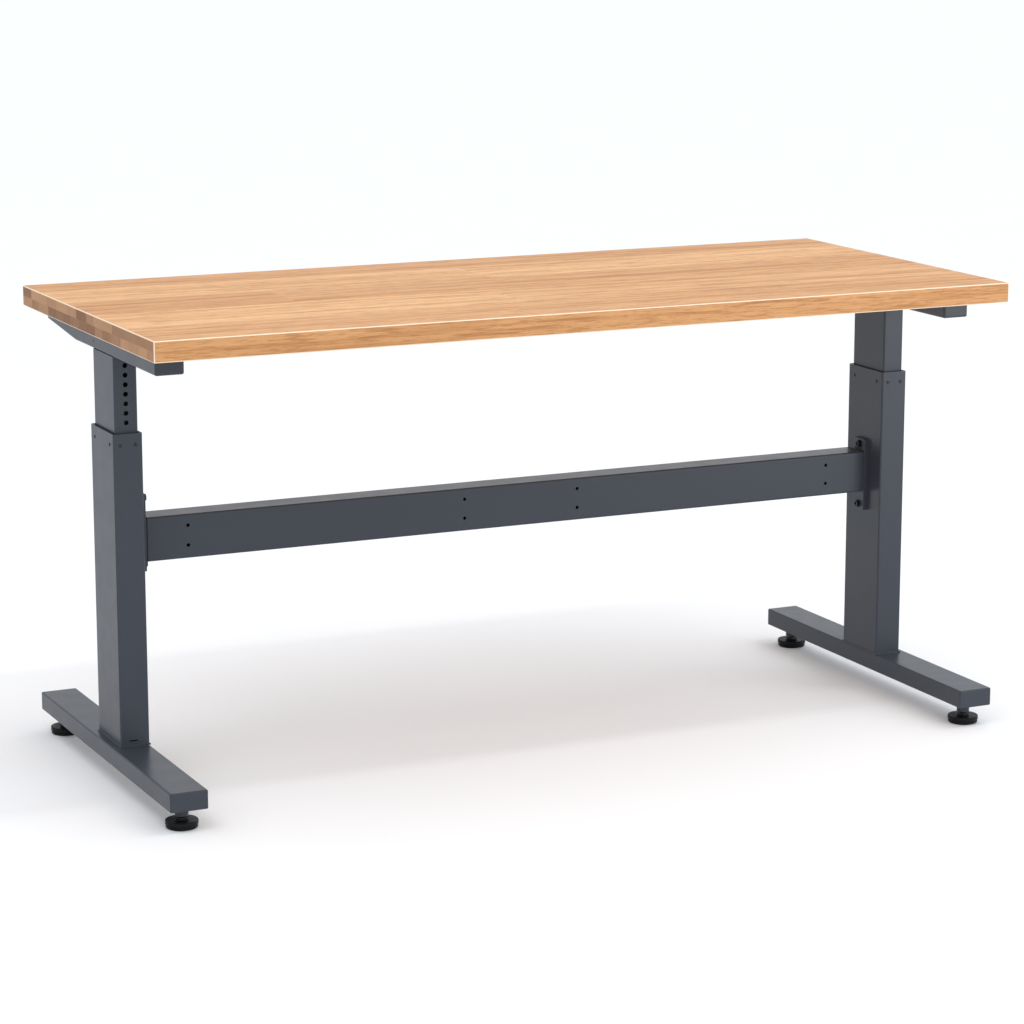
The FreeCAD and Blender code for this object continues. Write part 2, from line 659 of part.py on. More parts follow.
def make_upper_glides(doc, side):
    """Plastic pads inside the rim of the outer tube: four on the wide walls, two on the ends."""
    label = f"{side}_upper_glides"
    sign = SIDES[side]
    bottom = "rim_height - glide_drop - glide_high"
    gap_wide = "(outer_wide - inner_wide) / 2 - outer_wall"
    gap_deep = "(outer_deep - inner_deep) / 2 - outer_wall"
    pads = []
    for turn_x in (-1, 1):
        for turn_y in (-1, 1):
            name = f"{label}_side{len(pads)}"
            pad = doc.addObject("Part::Box", name)
            bind(pad, "Length", f"{gap_wide} - free_gap")
            bind(pad, "Width", "glide_side")
            bind(pad, "Height", "glide_high")
            inset = "outer_wide / 2 - outer_wall"
            near = f"{inset} - ({gap_wide} - free_gap)" if turn_x > 0 else f"-({inset})"
            bind(pad, "Placement.Base.x", f"{sign} * column_x + {near}")
            bind(pad, "Placement.Base.y", f"{turn_y} * glide_y - glide_side / 2")
            bind(pad, "Placement.Base.z", bottom)
            reach = f"{turn_x} * ({inset} - pin_bite)"
            hole = rod(doc, f"{name}_hole", "pin_wide", "2 * pin_bite",
                       f"{sign} * column_x + {reach}", f"{turn_y} * glide_y",
                       "rim_height - pin_drop", axis=(turn_x, 0, 0))
            pads.append(cut(doc, f"{name}_pad", pad, hole))
    for turn_y in (-1, 1):
        name = f"{label}_end{len(pads)}"
        pad = doc.addObject("Part::Box", name)
        bind(pad, "Length", "glide_end")
        bind(pad, "Width", f"{gap_deep} - free_gap")
        bind(pad, "Height", "glide_high")
        inset = "outer_deep / 2 - outer_wall"
        near = f"{inset} - ({gap_deep} - free_gap)" if turn_y > 0 else f"-({inset})"
        bind(pad, "Placement.Base.x", f"{sign} * column_x - glide_end / 2")
        bind(pad, "Placement.Base.y", near)
        bind(pad, "Placement.Base.z", bottom)
        reach = f"{turn_y} * ({inset} - pin_bite)"
        holes = []
        for turn_x in (-1, 1):
            holes.append(rod(doc, f"{name}_hole{len(holes)}", "pin_wide", "2 * pin_bite",
                             f"{sign} * column_x + {turn_x} * pin_apart", reach,
                             "rim_height - pin_drop", axis=(0, turn_y, 0)))
        pads.append(cut(doc, f"{name}_pad", pad, fuse(doc, f"{name}_holes", holes)))
    group(doc, label, pads)


def glide_screw(doc, name, x, y, axis):
    """A low round-headed screw through the outer tube's wall into its glide pad; x and y are where
    its axis meets the wall's outer face."""
    level = "rim_height - pin_drop"
    along_x, along_y, _ = axis
    long = "outer_wall + pin_bite"
    shank = rod(doc, f"{name}_shank", "pin_wide", long, f"{x} - {along_x} * ({long})",
                f"{y} - {along_y} * ({long})", level, axis)
    head = rod(doc, f"{name}_head", "pin_head", "pin_head_high", x, y, level, axis)
    solid = fuse(doc, f"{name}_solid", [shank, head])
    half = "pin_head_high / 2"
    recess = hexagon(doc, f"{name}_recess", "pin_key", "pin_head_high",
                     f"{x} + {along_x} * {half}", f"{y} + {along_y} * {half}", level, axis)
    return cut(doc, name, solid, recess)


def make_glide_screws(doc):
    screws = []
    for side, sign in SIDES.items():
        for turn_x in (-1, 1):
            for turn_y in (-1, 1):
                name = f"{side}_glide_screw{len(screws)}"
                x = f"{sign} * column_x + {turn_x} * outer_wide / 2"
                screws.append(glide_screw(doc, name, x, f"{turn_y} * glide_y", (turn_x, 0, 0)))
                name = f"{side}_glide_screw{len(screws)}"
                x = f"{sign} * column_x + {turn_x} * pin_apart"
                y = f"{turn_y} * outer_deep / 2"
                screws.append(glide_screw(doc, name, x, y, (0, turn_y, 0)))
    group(doc, "glide_screws", screws)


def make_lower_glide(doc, side):
    """A plastic shoe round the lower end of the inner tube."""
    label = f"{side}_lower_glide"
    body = new_body(doc, label)
    ring = new_sketch(body, f"{label}_ring", "XY_Plane", "-shoe_lip")
    draw_box(ring, "outer_wide - 2 * (outer_wall + free_gap)",
             "outer_deep - 2 * (outer_wall + free_gap)")
    add_pad(body, ring, "shoe_high + shoe_lip")
    reach = value(body, "inner_wide") / 2
    round_edges(body, "shoe_round", lambda e: is_along(e, "z") and abs(e.CenterOfMass.x) > reach)
    seat = new_sketch(body, f"{label}_seat", "XY_Plane", "shoe_high")
    draw_box(seat, "inner_wide", "inner_deep")
    add_pocket(body, seat, "shoe_high")
    mouth = new_sketch(body, f"{label}_mouth", "XY_Plane")
    draw_box(mouth, "inner_wide - 2 * inner_wall", "inner_deep - 2 * inner_wall")
    add_pocket(body, mouth, "3 * shoe_lip", both_ways=True)
    place_on_column(body, side, "inner_foot")


# ---- lifting column: the linear actuator -----------------------------------------------------

HOUSING_FOOT = f"{RAIL_FLOOR} - plate_thick - pillar_long - cover_thick - drive_high"
GEAR_APART = "gear_module * (gear_teeth + pinion_teeth) / 2"
GEAR_FLOOR = "drive_high - gear_thick - 2 * gear_gap"
GEAR_FOOT = f"{HOUSING_FOOT} + {GEAR_FLOOR} + gear_gap"


def make_nut_tube(doc, side):
    """The tube that stands on the base plate and holds the nut up."""
    bottom = f"{FOOT_TOP} + base_thick"
    points = [
        ("tube_bore / 2", "0"),
        ("tube_wide / 2", "0"),
        ("tube_wide / 2", f"tube_top - ({bottom})"),
        ("tube_bore / 2", f"tube_top - ({bottom})"),
    ]
    body = turned_body(doc, f"{side}_nut_tube", points)
    place_on_column(body, side, bottom)


def make_drive_nut(doc, side):
    points = [
        ("screw_wide / 2 + run_gap", "-nut_spigot"),
        ("tube_bore / 2", "-nut_spigot"),
        ("tube_bore / 2", "0"),
        ("nut_wide / 2", "0"),
        ("nut_wide / 2", "nut_flange - nut_ease"),
        ("nut_wide / 2 - nut_ease", "nut_flange"),
        ("screw_wide / 2 + run_gap", "nut_flange"),
    ]
    body = turned_body(doc, f"{side}_drive_nut", points)
    place_on_column(body, side, "tube_top")


def make_lead_screw(doc, side):
    """The screw, its shoulder under the bearing and its journal up through the gear."""
    foot = f"screw_foot - ({HOUSING_FOOT})"
    top = "drive_high - screw_short"
    points = [
        ("0", foot),
        ("screw_wide / 2 - screw_lead_in", foot),
        ("screw_wide / 2", f"{foot} + screw_lead_in"),
        ("screw_wide / 2", "-bearing_foot"),
        ("collar_wide / 2", "-free_gap"),
        ("collar_wide / 2", "bearing_foot - free_gap"),
        ("journal_wide / 2", "bearing_foot - free_gap"),
        ("journal_wide / 2", top),
        ("0", top),
    ]
    body = turned_body(doc, f"{side}_lead_screw", points)
    place_on_column(body, side, HOUSING_FOOT)


def make_screw_bearing(doc, side):
    points = [
        ("journal_wide / 2 + run_gap", "0"),
        ("bearing_wide / 2", "0"),
        ("bearing_wide / 2", "bearing_high"),
        ("journal_wide / 2 + run_gap", "bearing_high"),
    ]
    body = turned_body(doc, f"{side}_screw_bearing", points)
    place_on_column(body, side, f"{HOUSING_FOOT} + bearing_foot")


def make_drive_housing(doc, side):
    """The cast block that holds the screw's bearing below and the gear pair above."""
    label = f"{side}_drive_housing"
    body = new_body(doc, label)
    block = new_sketch(body, f"{label}_block", "XY_Plane")
    draw_box(block, "drive_wide", "drive_deep", "0", "drive_shift")
    add_pad(body, block, "drive_high")
    round_edges(body, "drive_round", lambda e: is_along(e, "z"))
    seat = new_sketch(body, f"{label}_seat", "XY_Plane", "bearing_foot + bearing_high")
    draw_circle(seat, "bearing_wide")
    add_pocket(body, seat, "3 * bearing_high")
    bore = new_sketch(body, f"{label}_bore", "XY_Plane", "drive_high")
    draw_circle(bore, "journal_wide + 2 * gear_gap")
    add_pocket(body, bore, "drive_high - bearing_high")
    wheel = new_sketch(body, f"{label}_wheel", "XY_Plane", "drive_high")
    draw_circle(wheel, "gear_module * (gear_teeth + 2) + gear_gap")
    add_pocket(body, wheel, f"drive_high - ({GEAR_FLOOR})")
    pinion = new_sketch(body, f"{label}_pinion", "XY_Plane", "drive_high")
    draw_circle(pinion, "gear_module * (pinion_teeth + 2) + gear_gap", "0", GEAR_APART)
    add_pocket(body, pinion, f"drive_high - ({GEAR_FLOOR})")
    place_on_column(body, side, HOUSING_FOOT)


def make_housing_cover(doc, side):
    label = f"{side}_housing_cover"
    body = new_body(doc, label)
    outline = new_sketch(body, f"{label}_outline", "XY_Plane")
    draw_box(outline, "drive_wide", "drive_deep", "0", "drive_shift")
    add_pad(body, outline, "cover_thick")
    round_edges(body, "drive_round", lambda e: is_along(e, "z"))
    hole = new_sketch(body, f"{label}_hole", "XY_Plane")
    draw_circle(hole, "2 * shaft_wide", "0", GEAR_APART)
    add_pocket(body, hole, "3 * cover_thick", both_ways=True)
    place_on_column(body, side, f"{HOUSING_FOOT} + drive_high")


def make_drive_pillars(doc):
    """Eight round pillars that hang the two drive housings from the column top plates."""
    pillars = []
    for side, sign in SIDES.items():
        facing = -sign
        for turn_x in (-1, 1):
            for turn_y in (-1, 1):
                name = f"{side}_pillar{len(pillars)}"
                x = f"{sign} * column_x + {turn_x} * pillar_side"
                y = f"{facing} * drive_shift + {turn_y} * pillar_apart / 2"
                pillars.append(rod(doc, name, "pillar_wide", "pillar_long", x, y,
                                   f"{HOUSING_FOOT} + drive_high + cover_thick"))
    group(doc, "drive_pillars", pillars)


# A tooth's outline in modules: how far its tip stands out and its root lies in from the pitch
# circle, its half width at the tip and at the root, and how deep it starts inside the disc.
TOOTH_OUT = 0.85
TOOTH_IN = 1.25
TOOTH_TIP_HALF = 0.3
TOOTH_ROOT_HALF = 0.85
TOOTH_SUNK = 0.5


def make_gear(doc, label, teeth, bore):
    """A spur gear with straight-flanked teeth, thinned for backlash."""
    body = new_body(doc, label)
    root = f"gear_module * ({teeth} / 2 - {TOOTH_IN})"
    tip = f"gear_module * ({teeth} / 2 + {TOOTH_OUT})"
    start = f"{root} - gear_module * {TOOTH_SUNK}"
    disc = new_sketch(body, f"{label}_disc", "XY_Plane")
    draw_circle(disc, f"2 * {root}")
    add_pad(body, disc, "gear_thick")
    tooth = new_sketch(body, f"{label}_tooth", "XY_Plane")
    draw_outline(tooth, [
        (f"-gear_module * {TOOTH_ROOT_HALF}", start),
        (f"gear_module * {TOOTH_ROOT_HALF}", start),
        (f"gear_module * {TOOTH_TIP_HALF}", tip),
        (f"-gear_module * {TOOTH_TIP_HALF}", tip),
    ])
    feature = add_pad(body, tooth, "gear_thick")
    around = body.newObject("PartDesign::PolarPattern", f"{label}_teeth")
    around.Originals = [feature]
    axis = next(item for item in body.Origin.OriginFeatures if item.Role == "Z_Axis")
    around.Axis = (axis, [""])
    around.Angle = 360
    bind(around, "Occurrences", teeth)
    body.Tip = around
    doc.recompute()
    hole = new_sketch(body, f"{label}_bore", "XY_Plane")
    draw_circle(hole, bore)
    add_pocket(body, hole, "3 * gear_thick", both_ways=True)
    return body


def make_screw_gear(doc, side):
    body = make_gear(doc, f"{side}_screw_gear", "gear_teeth", "journal_wide")
    place_on_column(body, side, GEAR_FOOT)


def make_motor_pinion(doc, side):
    """The pinion stands half a tooth round, so that its gap meets the gear's tooth."""
    body = make_gear(doc, f"{side}_motor_pinion", "pinion_teeth", "shaft_wide")
    place_on_motor(body, side, GEAR_FOOT)
    half_tooth = 180 / value(body, "pinion_teeth")
    facing = 0 if side == "left" else 180
    body.Placement.Rotation = FreeCAD.Rotation(FreeCAD.Vector(0, 0, 1), facing + half_tooth)


def place_on_motor(obj, side, z):
    """Put a sub-part on the motor's axis, beside the screw's."""
    sign = SIDES[side]
    set_place(obj, x=f"{sign} * column_x", y=f"{-sign} * {GEAR_APART}", z=z,
              half_turn=side == "right")


def make_motor_housing(doc, side):
    """A closed can with a shaft hole in its lower end and a blind bearing bore in its upper."""
    bore = "shaft_wide / 2 + run_gap"
    inside = "rotor_wide / 2 + motor_air"
    points = [
        (bore, "0"),
        ("motor_wide / 2", "0"),
        ("motor_wide / 2", "motor_long - motor_round"),
        ("motor_wide / 2 - motor_round", "motor_long"),
        ("0", "motor_long"),
        ("0", "motor_long - motor_roof"),
        (bore, "motor_long - motor_roof"),
        (bore, "motor_long - 2 * motor_wall"),
        (inside, "motor_long - 2 * motor_wall"),
        (inside, "motor_wall"),
        (bore, "motor_wall"),
    ]
    body = turned_body(doc, f"{side}_motor_housing", points)
    place_on_motor(body, side, f"{HOUSING_FOOT} + drive_high + cover_thick")


def make_motor_rotor(doc, side):
    shaft = "shaft_wide / 2"
    foot = "-cover_thick - gear_thick - gear_gap / 2"
    middle = "(motor_long - motor_wall) / 2"
    top = "motor_long - motor_roof - free_gap"
    points = [
        ("0", foot),
        (shaft, foot),
        (shaft, f"{middle} - rotor_long / 2"),
        ("rotor_wide / 2", f"{middle} - rotor_long / 2"),
        ("rotor_wide / 2", f"{middle} + rotor_long / 2"),
        (shaft, f"{middle} + rotor_long / 2"),
        (shaft, top),
        ("0", top),
    ]
    body = turned_body(doc, f"{side}_motor_rotor", points)
    place_on_motor(body, side, f"{HOUSING_FOOT} + drive_high + cover_thick")


def make_motor_socket(doc, side):
    """The round inlet for the motor's lead, up through the top plate into the rail."""
    seat = "plate_thick + rail_wall"
    points = [
        ("socket_bore / 2", "-socket_rim"),
        ("socket_wide / 2", "-socket_rim"),
        ("socket_wide / 2", seat),
        ("socket_wide / 2 + socket_rim", seat),
        ("socket_wide / 2 + socket_rim", f"{seat} + socket_rim"),
        ("socket_bore / 2", f"{seat} + socket_rim"),
    ]
    body = turned_body(doc, f"{side}_motor_socket", points)
    sign = SIDES[side]
    set_place(body, x=f"{sign} * column_x", y=f"{-sign} * socket_y",
              z=f"{RAIL_FLOOR} - plate_thick", half_turn=side == "right")


# ---- stretcher -------------------------------------------------------------------------------

BEAM_SHIFT = "(left_bracket_thick - right_bracket_thick) / 2"


def make_stretcher(doc):
    """The beam between the brackets; its holes stand evenly about the middle of the bench."""
    body = new_body(doc, "stretcher")
    section = new_sketch(body, "stretcher_section", "YZ_Plane")
    draw_box(section, "beam_deep", "beam_high", "0", "beam_high / 2")
    draw_box(section, "beam_deep - 2 * beam_wall", "beam_high - 2 * beam_wall",
             "0", "beam_high / 2")
    add_pad(body, section, "2 * beam_half", both_ways=True)
    reach = value(body, "beam_deep") / 2 - SLACK
    round_edges(body, "beam_round", lambda e: is_along(e, "x") and abs(e.CenterOfMass.y) > reach)
    holes = new_sketch(body, "stretcher_holes", "XZ_Plane", "beam_deep / 2 + over_cut")
    for along in ("-hole_outer", "-hole_inner", "hole_inner", "hole_outer"):
        for sign in (-1, 1):
            draw_circle(holes, "beam_hole", f"{along} - {BEAM_SHIFT}",
                        f"hole_level + {sign} * hole_rise")
    add_pocket(body, holes, "beam_wall + 2 * over_cut")
    set_place(body, x=BEAM_SHIFT, y="beam_y", z="beam_under")


def make_stretcher_ends(doc):
    """Two plates in the stretcher's ends, proud of it and welded to the brackets."""
    plates = []
    for side, sign in SIDES.items():
        face = f"(column_x - outer_wide / 2 - {side}_bracket_thick)"
        inside = f"(beam_half - beam_wall + {sign} * {BEAM_SHIFT})"
        plate = doc.addObject("Part::Box", f"{side}_end_plate")
        bind(plate, "Length", f"{face} - {inside}")
        bind(plate, "Width", "beam_deep - 2 * beam_wall")
        bind(plate, "Height", "beam_high - 2 * beam_wall")
        bind(plate, "Placement.Base.x", inside if sign > 0 else f"-{face}")
        bind(plate, "Placement.Base.y", "beam_y - beam_deep / 2 + beam_wall")
        bind(plate, "Placement.Base.z", "beam_under + beam_wall")
        plates.append(plate)
    group(doc, "stretcher_end_plates", plates)


def make_bracket(doc, side):
    """An upright plate between the column and the end of the stretcher; the left one is the
    thicker."""
    label = f"{side}_stretcher_bracket"
    thickness = f"{side}_bracket_thick"
    body = new_body(doc, label)
    face = new_sketch(body, f"{label}_face", "YZ_Plane")
    draw_box(face, "bracket_wide", "bracket_high")
    add_pad(body, face, thickness)
    thick = value(body, thickness)
    round_edges(body, "bracket_round", lambda e: e.CenterOfMass.x > thick - SLACK)
    holes = new_sketch(body, f"{label}_holes", "YZ_Plane")
    for sign in (-1, 1):
        draw_circle(holes, "bolt_wide", "0", f"{sign} * bracket_bolts")
    add_pocket(body, holes, f"3 * {thickness}", both_ways=True)
    set_place(body, x=f"{SIDES[side]} * (column_x - outer_wide / 2)", y="bracket_y",
              z=f"{side}_bracket_level", half_turn=side == "right")


def make_bracket_bolts(doc):
    """Flange-headed socket bolts that clamp the brackets to the columns."""
    bolts = []
    for side, sign in SIDES.items():
        face = f"{sign} * (column_x - outer_wide / 2 - {side}_bracket_thick)"
        towards = (-sign, 0, 0)
        long = f"{side}_bracket_thick + outer_wall - free_gap"
        high = "bolt_flange_high + low_head_high"
        for up in (-1, 1):
            name = f"{side}_bracket_bolt{len(bolts)}"
            level = f"{side}_bracket_level + {up} * bracket_bolts"
            shank = rod(doc, f"{name}_shank", "bolt_wide", long, f"{face} + {sign} * ({long})",
                        "bracket_y", level, towards)
            flange = rod(doc, f"{name}_flange", "bolt_flange", "bolt_flange_high", face,
                         "bracket_y", level, towards)
            head = rod(doc, f"{name}_head", "bolt_head", high, face, "bracket_y", level, towards)
            solid = fuse(doc, f"{name}_solid", [shank, flange, head])
            recess = hexagon(doc, f"{name}_recess", "bolt_key", "bolt_key_deep + over_cut",
                             f"{face} - {sign} * ({high} - bolt_key_deep)", "bracket_y", level,
                             towards)
            bolts.append(cut(doc, name, solid, recess))
    group(doc, "bracket_bolts", bolts)


# ---- feet ------------------------------------------------------------------------------------

FOOT_BOLT_X = ("-foot_bolt_x", "foot_bolt_x")
FOOT_BOLT_Y = ("-foot_bolt_y", "foot_bolt_y")


def make_foot(doc, side):
    label = f"{side}_foot"
    body = new_body(doc, label)
    section = new_sketch(body, f"{label}_section", "XZ_Plane")
    draw_box(section, "foot_wide", "foot_high", "0", "foot_high / 2")
    draw_box(section, "foot_wide - 2 * foot_wall", "foot_high - 2 * foot_wall",
             "0", "foot_high / 2")
    add_pad(body, section, "foot_long - 2 * cap_thick", both_ways=True)
    reach = value(body, "foot_wide") / 2 - SLACK
    round_edges(body, "foot_round", lambda e: is_along(e, "y") and abs(e.CenterOfMass.x) > reach)
    shift = f"{SIDES[side]} * (column_x - foot_x)"
    bolts = new_sketch(body, f"{label}_bolt_holes", "XY_Plane", "foot_high + over_cut")
    access = new_sketch(body, f"{label}_access_holes", "XY_Plane", "foot_wall + over_cut")
    for across in FOOT_BOLT_X:
        for along in FOOT_BOLT_Y:
            draw_circle(bolts, "foot_bolt", f"{shift} + {across}", along)
            draw_circle(access, "foot_access", f"{shift} + {across}", along)
    for sign in ENDS.values():
        draw_circle(access, "neck_wide + 2 * run_gap", "0", f"{sign} * level_y")
    add_pocket(body, bolts, "foot_wall + 2 * over_cut")
    add_pocket(body, access, "foot_wall + 2 * over_cut")
    set_place(body, x=f"{SIDES[side]} * foot_x", z="foot_under")


def make_foot_caps(doc):
    """Four end caps: a plate on the tube's end and a plug inside it."""
    caps = []
    for side, sign in SIDES.items():
        for end, turn in ENDS.items():
            name = f"{side}_{end}_cap"
            plate = doc.addObject("Part::Box", f"{name}_plate")
            bind(plate, "Length", "foot_wide")
            bind(plate, "Width", "cap_thick")
            bind(plate, "Height", "foot_high")
            near = "foot_long / 2 - cap_thick" if turn > 0 else "-foot_long / 2"
            bind(plate, "Placement.Base.x", f"{sign} * foot_x - foot_wide / 2")
            bind(plate, "Placement.Base.y", near)
            bind(plate, "Placement.Base.z", "foot_under")
            doc.recompute()
            outer = value(plate, "foot_long") / 2
            soft = doc.addObject("Part::Fillet", f"{name}_round")
            soft.Base = plate
            corner = value(plate, "foot_round")
            rim = value(plate, "cap_round")
            edges = []
            for number, edge in enumerate(plate.Shape.Edges, start=1):
                if is_along(edge, "y"):
                    edges.append((number, corner, corner))
                elif abs(abs(edge.CenterOfMass.y) - outer) < SLACK:
                    edges.append((number, rim, rim))
            soft.Edges = edges
            plug = doc.addObject("Part::Box", f"{name}_plug")
            bind(plug, "Length", "foot_wide - 2 * foot_wall")
            bind(plug, "Width", "cap_plug")
            bind(plug, "Height", "foot_high - 2 * foot_wall")
            start = "foot_long / 2 - cap_thick - cap_plug"
            if turn < 0:
                start = "cap_thick - foot_long / 2"
            bind(plug, "Placement.Base.x", f"{sign} * foot_x - foot_wide / 2 + foot_wall")
            bind(plug, "Placement.Base.y", start)
            bind(plug, "Placement.Base.z", "foot_under + foot_wall")
            caps.append(fuse(doc, name, [soft, plug]))
    group(doc, "foot_end_caps", caps)


def make_foot_bolts(doc):
    """Hexagon bolts from inside each foot up into the column's base plate."""
    bolts = []
    for side, sign in SIDES.items():
        for across in FOOT_BOLT_X:
            for along in FOOT_BOLT_Y:
                name = f"{side}_foot_bolt{len(bolts)}"
                x = f"{sign} * column_x + {across}"
                ceiling = f"{FOOT_TOP} - foot_wall"
                shank = rod(doc, f"{name}_shank", "foot_bolt", "foot_wall + base_thick", x, along,
                            ceiling)
                head = hexagon(doc, f"{name}_head", "foot_bolt_flats", "foot_bolt_head", x, along,
                               f"{ceiling} - foot_bolt_head")
                bolts.append(fuse(doc, name, [shank, head]))
    group(doc, "foot_bolts", bolts)


def make_leveller_inserts(doc):
    """Threaded inserts: a boss under the foot and a thinner neck up into it."""
    inserts = []
    for side, sign in SIDES.items():
        for end, turn in ENDS.items():
            name = f"{side}_{end}_insert"
            x = f"{sign} * foot_x"
            y = f"{turn} * level_y"
            boss = rod(doc, f"{name}_boss", "boss_wide", "foot_under - boss_under", x, y,
                       "boss_under")
            neck = rod(doc, f"{name}_neck", "neck_wide", "neck_high", x, y, "foot_under")
            bore = rod(doc, f"{name}_bore", "stud_wide + 2 * run_gap", "foot_under + neck_high",
                       x, y, "boss_under - over_cut")
            inserts.append(cut(doc, name, fuse(doc, f"{name}_solid", [boss, neck]), bore))
    group(doc, "leveller_inserts", inserts)


def place_leveller(obj, side, end):
    set_place(obj, x=f"{SIDES[side]} * foot_x", y=f"{ENDS[end]} * level_y")


def make_leveller_pad(doc, side, end):
    """A round pad with a grooved rim, a flat top and a blind bore for the stud's end."""
    rim = "pad_wide / 2"
    bore = "stud_wide / 2 + run_gap"
    points = [
        ("0", "0"),
        (f"{rim} - pad_step - pad_ease", "0"),
        (f"{rim} - pad_step", "pad_ease"),
        (f"{rim} - pad_step", "groove_foot"),
        (f"{rim} - 2 * pad_step", "groove_foot + pad_step"),
        (f"{rim} - 2 * pad_step", "groove_foot + pad_step + groove_high"),
        (rim, "groove_foot + 2 * pad_step + groove_high"),
        (rim, "pad_high - pad_dish - pad_step"),
        (f"{rim} - pad_step", "pad_high - pad_dish"),
        ("pad_collar / 2", "pad_high - pad_dish"),
        ("pad_collar / 2 - pad_step", "pad_high"),
        (bore, "pad_high"),
        (bore, "stud_seat"),
        ("0", "stud_seat"),
    ]
    body = turned_body(doc, f"{side}_{end}_leveller_pad", points)
    place_leveller(body, side, end)


def make_leveller_stud(doc, side, end):
    """The stud, with a thin hexagon for a spanner just above the pad."""
    label = f"{side}_{end}_leveller_stud"
    points = [
        ("0", "stud_seat + free_gap"),
        ("stud_wide / 2", "stud_seat + free_gap"),
        ("stud_wide / 2", "stud_top - stud_ease"),
        ("stud_wide / 2 - stud_ease", "stud_top"),
        ("0", "stud_top"),
    ]
    body = turned_body(doc, label, points)
    flats = new_sketch(body, f"{label}_flats", "XY_Plane", "pad_high + free_gap")
    corners = []
    for step in range(6):
        angle = math.radians(60 * step)
        corners.append((f"stud_flats / sqrt(3) * {math.cos(angle):.6f}",
                        f"stud_flats / sqrt(3) * {math.sin(angle):.6f}"))
    draw_outline(flats, corners)
    add_pad(body, flats, "stud_hex_high")
    place_leveller(body, side, end)


# ---- the whole bench -------------------------------------------------------------------------

def check(doc):
    """Stop the build on a failed object or a bad shape."""
    for obj in doc.Objects:
        if "Invalid" in obj.State or "Error" in obj.State:
            raise RuntimeError(f"{obj.Label} failed: {obj.State}")
    for node in NODES:
        if node.Shape.isNull() or not node.Shape.isValid() or not node.Shape.Solids:
            raise RuntimeError(f"{node.Label} has a bad shape")


def main():
    doc = FreeCAD.newDocument("workbench")
    make_sheet(doc)
    make_worktop(doc)
    make_worktop_screws(doc)
    make_top_bolts(doc)
    make_glide_screws(doc)
    make_drive_pillars(doc)
    make_stretcher(doc)
    make_stretcher_ends(doc)
    make_bracket_bolts(doc)
    make_foot_caps(doc)
    make_foot_bolts(doc)
    make_leveller_inserts(doc)
    for side in SIDES:
        make_top_rail(doc, side)
        make_outer_column(doc, side)
        make_inner_column(doc, side)
        make_base_plate(doc, side)
        make_top_plate(doc, side)
        make_upper_glides(doc, side)
        make_lower_glide(doc, side)
        make_nut_tube(doc, side)
        make_drive_nut(doc, side)
        make_lead_screw(doc, side)
        make_screw_bearing(doc, side)
        make_drive_housing(doc, side)
        make_housing_cover(doc, side)
        make_screw_gear(doc, side)
        make_motor_pinion(doc, side)
        make_motor_housing(doc, side)
        make_motor_rotor(doc, side)
        make_motor_socket(doc, side)
        make_bracket(doc, side)
        make_foot(doc, side)
        for end in ENDS:
            make_leveller_pad(doc, side, end)
            make_leveller_stud(doc, side, end)
    doc.recompute()
    check(doc)
    os.makedirs("parts", exist_ok=True)
    for node in NODES:
        node.Shape.exportStep(f"parts/{node.Label}.step")
        box = node.Shape.BoundBox
        print(f"{node.Label:30s} solids {len(node.Shape.Solids):2d}  volume {node.Shape.Volume:12.1f}"
              f"  z {box.ZMin:7.1f} to {box.ZMax:7.1f}")


main()
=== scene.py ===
import json
import math
import random

import bmesh
import bpy
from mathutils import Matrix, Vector


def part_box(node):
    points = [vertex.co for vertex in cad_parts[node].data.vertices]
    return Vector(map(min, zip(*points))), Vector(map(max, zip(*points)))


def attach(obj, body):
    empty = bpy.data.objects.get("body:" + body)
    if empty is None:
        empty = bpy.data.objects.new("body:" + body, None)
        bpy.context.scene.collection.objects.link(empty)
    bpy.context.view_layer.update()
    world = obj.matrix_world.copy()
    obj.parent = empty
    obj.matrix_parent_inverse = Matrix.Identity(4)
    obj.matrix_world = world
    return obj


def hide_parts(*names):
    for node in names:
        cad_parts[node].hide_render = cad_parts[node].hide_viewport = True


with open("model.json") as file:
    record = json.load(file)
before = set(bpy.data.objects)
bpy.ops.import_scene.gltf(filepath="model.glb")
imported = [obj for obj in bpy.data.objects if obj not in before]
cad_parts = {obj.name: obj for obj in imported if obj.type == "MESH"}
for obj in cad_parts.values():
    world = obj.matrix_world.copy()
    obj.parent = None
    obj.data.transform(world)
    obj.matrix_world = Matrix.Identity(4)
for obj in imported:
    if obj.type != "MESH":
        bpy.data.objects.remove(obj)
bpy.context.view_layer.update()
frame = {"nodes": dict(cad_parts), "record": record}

# Height-adjustable workbench. Every length is in metres, in the frame's own axes: X along the
# worktop, front towards -Y, Z up from the floor.

MM = 0.001
SIDES = {"left": -1, "right": 1}


# ---- camera, lights and floor ----------------------------------------------------------------

CAMERA_AZIMUTH = math.radians(-25.11)
CAMERA_ELEVATION = math.radians(11.89)
CAMERA_DISTANCE = 6.528
CAMERA_TARGET = Vector((-0.012, 0.0, 0.452))
CAMERA_LENS = 113.4
SENSOR_WIDE = 36
CAMERA_REACH = 200
SURROUND_BRIGHT_WAY = (0.80, -0.34, 0.50)
SURROUND_BRIGHT = 1.25
SURROUND_DIM = 0.58
SURROUND_COLOUR = (0.965, 0.99, 1.03, 1)
SUN_TOWARDS = (0.18, 0.10, -1.0)
SUN_STRENGTH = 0.24
SUN_DISC = math.radians(50)
SUN_COLOUR = (1.0, 0.985, 0.965)
